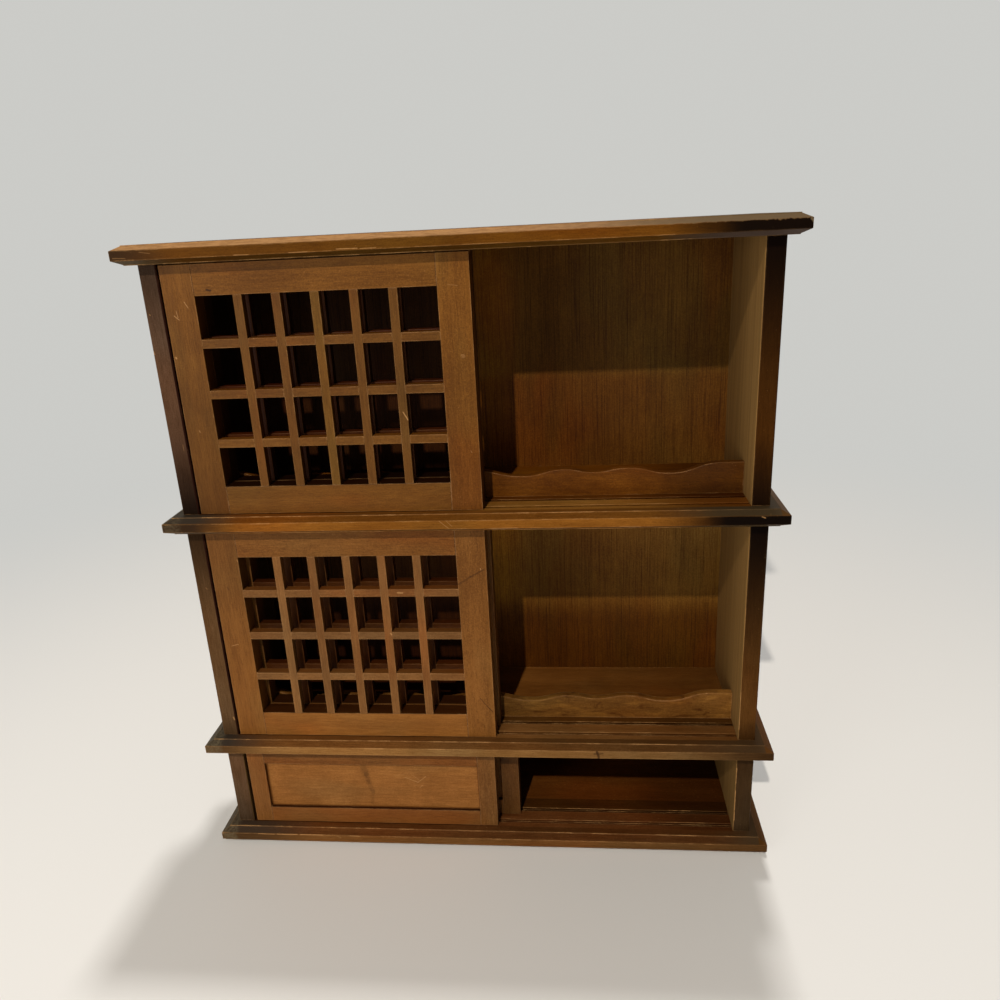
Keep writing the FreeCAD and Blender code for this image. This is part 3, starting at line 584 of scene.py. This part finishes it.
def makeTack():  # a low dome, struck a little flat
    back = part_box("back_panel")[1].y
    top = back + tacks["proud"]
    segments, rings = tacks["round"]
    bpy.ops.object.select_all(action="DESELECT")
    bpy.ops.mesh.primitive_uv_sphere_add(
        segments=segments, ring_count=rings, radius=tacks["curve"], rotation=(math.radians(90), 0, 0),
        location=(0, top + tacks["flat"] - tacks["curve"], 0))
    tack = bpy.context.object
    bpy.ops.object.mode_set(mode="EDIT")
    cutLevel(back - tacks["sunk"], clear_inner=True)
    cutLevel(top, clear_outer=True)
    bpy.ops.mesh.select_all(action="SELECT")
    bpy.ops.mesh.normals_make_consistent(inside=False)
    bpy.ops.object.mode_set(mode="OBJECT")
    bpy.ops.object.shade_smooth_by_angle(angle=math.radians(tacks["smooth"]))
    tack.data.materials.append(makeIron())
    return tack


def copyPiece(piece):
    copied = piece.copy()
    copied.data = piece.data.copy()
    bpy.context.scene.collection.objects.link(copied)
    return copied


def setTack(tack, number, x, z):
    tack.name = f"back_tack_{number:02d}"
    tack.location.x = x
    tack.location.z = z
    bpy.ops.object.select_all(action="DESELECT")
    tack.select_set(True)
    bpy.context.view_layer.objects.active = tack
    bpy.ops.object.transform_apply(location=True, rotation=True, scale=True)
    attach(tack, "carcass")


tackPlaces = [(side * tacks["sideX"], z) for side in (-1, 1) for z in tacks["sideZ"]]
for z, count in tacks["rows"].items():
    step = 2 * tacks["rowReach"] / (count - 1)
    tackPlaces += [(step * spot - tacks["rowReach"], z) for spot in range(count)]
firstTack = makeTack()
allTacks = [firstTack] + [copyPiece(firstTack) for place in tackPlaces[1:]]
hand = random.Random(tacks["seed"])
for number, (tack, (x, z)) in enumerate(zip(allTacks, tackPlaces)):
    setTack(tack, number + 1, x + hand.uniform(-1, 1) * tacks["astray"], z + hand.uniform(-1, 1) * tacks["astray"])
print("back tacked on with", len(allTacks), "tacks")


# low rails with a cut wave, behind the tracks
waveRails = {
    "middle": {"colour": paint(122, 79, 31), "tone": 0.68, "scorch": 0.0, "blots": 0.9, "reach": 0.0016},
    "upper": {"colour": paint(122, 69, 14), "tone": 0.61, "scorch": 0.50, "blots": 0.4, "reach": 0.0010},
}
waveFinish = {
    "width": 0.0003, "seed": 31.0, "cloud": 0.7, "wear": 0.7, "blotScale": (45, 45, 130), "scorchX": (0.10, 0.14),
    "dark": (0.52, 0.42, 0.34), "darkFrom": (0.52, 0.64), "pale": (1.40, 1.46, 1.40), "paleFrom": (0.36, 0.48),
}
waveMarks = {"middle": [mark((150.2, 104.6), (152.0, 103.8), 0.675, 0.7, face=-17.8)]}


def waveLayers(rail):
    def layers(place, cloud):
        blot = noise(stretch(place, waveFinish["blotScale"]), 1.0, 4.0, 0.65, 0.6)
        scorch = splitPlace(place)[0].fade(*waveFinish["scorchX"])
        return [(blot.fade(*waveFinish["darkFrom"]) * rail["blots"], waveFinish["dark"], "MULTIPLY"),
                ((1.0 - blot.fade(*waveFinish["paleFrom"])) * rail["blots"], waveFinish["pale"], "MULTIPLY"),
                (scorch * rail["scorch"], boardFinish["scorched"]["right"], "MIX")]
    return layers


for number, (tier, rail) in enumerate(waveRails.items()):
    name = f"{tier}_scalloped_rail"
    wood = dict(baseWood, colour=rail["colour"], tone=rail["tone"], wearReach=rail["reach"],
                cloud=waveFinish["cloud"], wear=waveFinish["wear"])
    seed = waveFinish["seed"] + number
    material = makeWood(name, wood, 0, seed, waveLayers(rail), waveMarks.get(tier, ()))
    dress(name, material, waveFinish["width"])


# doors: recess is the shade on the sides and backs of their parts, ledge the same on the level bars
# rear: the rear doors' tone is kept low as painted shade, and their bars' darker, redder colours are painted shade too
doors = {
    "lower": {"front": 0.87, "rear": 0.52, "colour": paint(125, 80, 37),
              "recess": (0.60, 0.52, 0.44), "ledge": (0.60, 0.52, 0.44)},
    "middle": {"front": 0.88, "rear": 0.60, "colour": paint(127, 80, 32),
               "recess": (0.58, 0.50, 0.42), "ledge": (0.80, 0.66, 0.50),
               "bars": {"front": paint(121, 80, 40), "rear": paint(87, 45, 10)}},
    "upper": {"front": 0.64, "rear": 0.36, "colour": paint(127, 79, 25),
              "recess": (0.34, 0.26, 0.18), "ledge": (0.92, 0.78, 0.56),
              "bars": {"front": paint(121, 77, 28), "rear": paint(101, 48, 13)}},
}
doorFinish = {
    "width": 0.00025, "seed": 40.0, "seedSteps": {"tier": 23, "track": 11, "part": 1.7},
    "wear": {"front": 0.75, "rear": 0.30}, "bands": 0.3, "panel": paint(134, 86, 39), "panelCloud": 0.5,
    "seam": (0.26, 0.20, 0.15), "seamX": (0.00018, 0.00060), "seamDepth": 0.9, "behindY": (0.0002, 0.0009),
    "railTop": (0.30, 0.26, 0.24), "railTopZ": (-0.0004, -0.0001), "stileWander": 0.03,
    # painted shadow along the panel's edges
    "frameShadow": (0.40, 0.32, 0.26), "frameShadowDepth": 0.8, "frameShadowWander": 0.0006, "frameShadowLeft": (0.0006, 0.0022),
    "frameShadowRight": (0.0004, 0.0014), "frameShadowFoot": (0.0003, 0.0012), "frameShadowHead": (0.0002, 0.0010),
    "barShare": 0.25, "barLead": 0.3, "barStep": 1.7, "barStart": 0.3, "barChange": 0.5,
    "barShade": (0.62, 0.62, 0.66), "oddDoor": "upper_front_door", "oddBar": 2, "oddShade": (1.16, 1.34, 1.24),
}
partTone = {
    "lower": {"left_stile": 1.0, "right_stile": 0.82, "top_rail": 0.76, "bottom_rail": 0.92, "panel": 1.12},
    "middle": {"left_stile": 0.94, "right_stile": 0.94, "top_rail": 0.84, "bottom_rail": 1.16,
               "vertical_bars": 1.12, "horizontal_bars": 1.08},
    "upper": {"left_stile": 0.98, "right_stile": 1.06, "top_rail": 1.04, "bottom_rail": 0.98,
              "vertical_bars": 1.02, "horizontal_bars": 1.14},
}
stileShades = {  # tone at the foot and at the head
    "upper_front_door_left_stile": (0.70, 1.06), "upper_front_door_right_stile": (0.78, 1.10),
    "middle_front_door_left_stile": (1.16, 0.74), "middle_front_door_right_stile": (1.05, 0.86),
}


def onPanel(*marks):  # marks on the lower front door's panel, which stands back from the frame
    return [mark(*each, face=-39.5) for each in marks]


doorMarks = {
    "upper_front_door_left_stile": [
        mark((-161.6, 371.7), (-161.1, 367.7), 0.2625, 0.6), mark((-155.9, 376.5), (-154.1, 373.1), 0.3, 0.6),
        mark((-163.3, 368.9), (-160.7, 366.5), 0.3, 0.7), mark((-166.6, 344.9), (-166.4, 344.3), 0.6, 0.7),
        mark((-160.0, 300.5), (-159.6, 299.4), 0.3375, 0.5)],
    "upper_front_door_top_rail": [mark((-141.4, 382.7), (-139.2, 382.2), 0.825, 0.8, "dark")],
    "upper_front_door_right_stile": [
        mark((3.7, 340.1), (3.7, 340.0), 1.65, 0.35), mark((3.7, 340.1), (3.7, 340.0), 1.125, 0.45, "wood"),
        mark((-2.5, 380.0), (3.0, 379.2), 0.225, 0.3), mark((5.0, 284.0), (5.4, 283.0), 0.3, 0.4)],
    "upper_front_door_vertical_bars": [
        mark((-33.9, 308.6), (-31.3, 303.7), 0.375, 0.85), mark((-39.6, 352.4), (-37.1, 345.0), 0.3375, 0.4)],
    "middle_front_door_left_stile": [
        mark((-163.2, 153.3), (-158.6, 154.6), 0.3, 0.6), mark((-159.4, 196.0), (-158.8, 194.8), 0.675, 0.35, "dark"),
        mark((-150.0, 215.2), (-149.3, 213.8), 0.375, 0.4)],
    "middle_front_door_right_stile": [
        mark((-7.8, 197.4), (0.0, 202.4), 0.825, 0.35, "dark"), mark((-0.5, 202.2), (8.5, 207.2), 0.675, 0.45, "dark"),
        mark((0.9, 114.6), (5.2, 108.5), 0.3375, 0.6, "dark"), mark((5.2, 108.5), (9.0, 103.9), 0.4125, 0.7, "dark"),
        mark((6.3, 208.0), (6.6, 207.0), 0.375, 0.6)],
    "middle_front_door_vertical_bars": [mark((-54.8, 162.6), (-54.2, 161.6), 0.675, 0.8)],
    "middle_front_door_horizontal_bars": [mark((-47.5, 191.6), (-44.5, 191.5), 0.75, 0.6)],
    "lower_front_door_panel": onPanel(
        ((-55.8, 48.6), (-46.9, 44.6), 0.3, 0.65), ((-46.9, 44.6), (-41.0, 49.5), 0.3, 0.65),
        ((-50.6, 50.6), (-46.0, 47.0), 0.225, 0.4), ((-45.8, 40.2), (-43.5, 42.4), 0.3375, 0.5),
        ((-64.0, 49.5), (-56.0, 51.2), 0.1875, 0.35),
        ((-84.6, 57.0), (-83.2, 51.0), 3.3, 0.30, "dark"),
        ((-83.2, 51.0), (-82.0, 44.0), 2.4, 0.28, "dark"),
        ((-82.0, 44.0), (-79.9, 36.4), 2.25, 0.24, "dark"),
        ((-79.9, 36.4), (-81.0, 27.0), 2.1, 0.15, "dark")),
}


def doorRailLayers(name, joints):  # dark hairlines where the rails meet the stiles, and a darker top face on the bottom rails
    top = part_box(name)[1].z

    def layers(place, cloud):
        x, y, z = splitPlace(place)
        seams = [1.0 - (x - joint).size().fade(*doorFinish["seamX"]) for joint in joints]
        found = [(seam * doorFinish["seamDepth"], doorFinish["seam"], "MULTIPLY") for seam in seams]
        if "bottom" in name:
            found.append(((z - top).fade(*doorFinish["railTopZ"]), doorFinish["railTop"], "MULTIPLY"))
        return found
    return layers


def stileLayers(name):
    low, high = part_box(name)
    foot, head = stileShades.get(name, (1.0, 1.0))

    def layers(place, cloud):
        rise = (splitPlace(place)[2] + cloud.sway(doorFinish["stileWander"])).fade(low.z, high.z)
        return [(1.0 - rise, (foot,) * 3, "MULTIPLY"), (rise, (head,) * 3, "MULTIPLY")]
    return layers


def barLayers(name, axis, count, odd=None):  # every bar is cut from another stick
    low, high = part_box(name)
    pitch = (high[axis] - low[axis]) / (count - 1 + doorFinish["barShare"])  # a bar takes up a share of its pitch
    first = low[axis] - pitch * doorFinish["barLead"]

    def layers(place, cloud):
        stick = ((splitPlace(place)[axis] - first) / pitch).floor()
        spot = {"W": stick * doorFinish["barStep"] + doorFinish["barStart"]}
        change = addNode(place.tree, "ShaderNodeTexWhiteNoise", {"noise_dimensions": "1D"}, spot)
        found = [(change * doorFinish["barChange"], doorFinish["barShade"], "MULTIPLY")]
        if odd is not None:
            found.append((1.0 - (stick - odd).size().fade(0.4, 0.6), doorFinish["oddShade"], "MULTIPLY"))
        return found
    return layers


def panelLayers(low, high):  # painted shadow of the frame along the panel's edges and in its corners
    def layers(place, cloud):
        x, y, z = splitPlace(place)
        left = (x - low.x + cloud * doorFinish["frameShadowWander"]).fade(*doorFinish["frameShadowLeft"])
        right = (high.x - x).fade(*doorFinish["frameShadowRight"])
        foot, head = (z - low.z).fade(*doorFinish["frameShadowFoot"]), (high.z - z).fade(*doorFinish["frameShadowHead"])
        return [((1.0 - left * right * foot * head) * doorFinish["frameShadowDepth"], doorFinish["frameShadow"], "MULTIPLY")]
    return layers


def recessed(layers, front, shade):  # the sides and backs of the parts are darker than their faces
    def both(place, cloud):
        behind = (splitPlace(place)[1] - front).fade(*doorFinish["behindY"])
        return layers(place, cloud) + [(behind, shade, "MULTIPLY")]
    return both


def dressDoor(tier, track, seed):
    door = f"{tier}_{track}_door"
    finish = doors[tier]
    leftStile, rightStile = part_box(f"{door}_left_stile"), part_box(f"{door}_right_stile")
    joints = [leftStile[1].x, rightStile[0].x]
    frameWood = dict(baseWood, colour=finish["colour"])
    pieces = {
        "left_stile": (2, frameWood, stileLayers(f"{door}_left_stile")),
        "right_stile": (2, frameWood, stileLayers(f"{door}_right_stile")),
        "bottom_rail": (0, frameWood, doorRailLayers(f"{door}_bottom_rail", joints)),
        "top_rail": (0, frameWood, doorRailLayers(f"{door}_top_rail", joints)),
    }
    if tier == "lower":
        panelWood = dict(baseWood, colour=doorFinish["panel"], bands=doorFinish["bands"],
                         cloud=doorFinish["panelCloud"])
        low = Vector((joints[0], 0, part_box(f"{door}_bottom_rail")[1].z))
        high = Vector((joints[1], 0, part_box(f"{door}_top_rail")[0].z))
        pieces["panel"] = (0, panelWood, panelLayers(low, high))
    else:
        barWood = dict(baseWood, colour=finish["bars"][track], bands=doorFinish["bands"])
        odd = doorFinish["oddBar"] if door == doorFinish["oddDoor"] else None
        pieces["vertical_bars"] = (2, barWood, barLayers(f"{door}_vertical_bars", 0, 5, odd))
        pieces["horizontal_bars"] = (0, barWood, barLayers(f"{door}_horizontal_bars", 2, 3))
    for number, (part, (axis, wood, layers)) in enumerate(pieces.items()):
        name = f"{door}_{part}"
        wood = dict(wood, tone=finish[track] * partTone[tier][part], wear=doorFinish["wear"][track])
        if part != "panel":
            layers = recessed(layers, leftStile[0].y, finish["ledge" if part == "horizontal_bars" else "recess"])
        partSeed = seed + number * doorFinish["seedSteps"]["part"]
        material = makeWood(name, wood, axis, partSeed, layers, doorMarks.get(name, ()))
        dress(name, material, doorFinish["width"])


for number, tier in enumerate(tiers):
    tierSeed = doorFinish["seed"] + number * doorFinish["seedSteps"]["tier"]
    for count, track in enumerate(tracks):
        dressDoor(tier, track, tierSeed + count * doorFinish["seedSteps"]["track"])
print("cabinet dressed")


# floor, background and lights
room = {
    "floor": (0.80, 0.785, 0.755), "floorReach": 40.0, "floorCorners": 96, "floorRoughness": 0.6,
    "floorEnds": (0.30, 1.1),
    "wall": (0.60, 0.60, 0.575), "ambient": (0.12, 0.12, 0.12), "aim": (0, 0, 0.2),
    "key": {"place": (-0.404, -2.51, 2.547), "size": 0.06, "power": 79.0, "colour": (1.0, 0.93, 0.84)},
    "fill": {"place": (-0.95, -1.30, 0.35), "size": 0.70, "power": 6.6, "colour": (1.0, 0.97, 0.92)},
    "top": {"place": (0.43, 2.14, 8.00), "size": 0.50, "power": 290.0, "colour": (1.0, 0.98, 0.95)},
}


def makeFloor():  # it fades into the background's colour
    bpy.ops.object.select_all(action="DESELECT")
    bpy.ops.mesh.primitive_circle_add(
        vertices=room["floorCorners"], radius=room["floorReach"], fill_type="NGON", location=(0, 0, 0))
    floor = bpy.context.object
    floor.name = "floor"
    material, tree = newMaterial("floor")
    place = addNode(tree, "ShaderNodeTexCoord", output="Object")
    length = addNode(tree, "ShaderNodeVectorMath", {"operation": "LENGTH"}, {0: place}, "Value")
    near = addNode(tree, "ShaderNodeBsdfPrincipled", {},
                   {"Base Color": (*room["floor"], 1), "Roughness": room["floorRoughness"]})
    seen = addNode(tree, "ShaderNodeEmission", {}, {"Color": (*room["wall"], 1)})
    both = addNode(tree, "ShaderNodeMixShader", {}, {0: length.fade(*room["floorEnds"]), 1: near, 2: seen})
    addNode(tree, "ShaderNodeOutputMaterial", {}, {"Surface": both})
    floor.data.materials.append(material)


def makeWorld():  # eyes, gloss and glass see the wall, the rest gets the ambient light
    world = bpy.data.worlds.new("room")
    bpy.context.scene.world = world
    world.use_nodes = True
    tree = world.node_tree
    tree.nodes.clear()
    direct, glossy, through = [addNode(tree, "ShaderNodeLightPath", output=f"Is {ray} Ray")
                               for ray in ("Camera", "Glossy", "Transmission")]
    lit = addNode(tree, "ShaderNodeBackground", {}, {"Color": (*room["ambient"], 1)})
    seen = addNode(tree, "ShaderNodeBackground", {}, {"Color": (*room["wall"], 1)})
    both = addNode(tree, "ShaderNodeMixShader", {}, {0: direct.most(glossy).most(through), 1: lit, 2: seen})
    addNode(tree, "ShaderNodeOutputWorld", {}, {"Surface": both})


def addLamp(name, lamp):
    light = bpy.data.lights.new(name, "AREA")
    light.size = lamp["size"]
    light.energy = lamp["power"]
    light.color = lamp["colour"]
    holder = bpy.data.objects.new(name, light)
    holder.location = lamp["place"]
    aim = Vector(room["aim"]) - holder.location
    holder.rotation_euler = aim.to_track_quat("-Z", "Y").to_euler()
    bpy.context.scene.collection.objects.link(holder)


makeFloor()
makeWorld()
for name in ("key", "fill", "top"):
    addLamp(name, room[name])
bpy.context.scene.view_settings.view_transform = "Standard"
print("room ready")
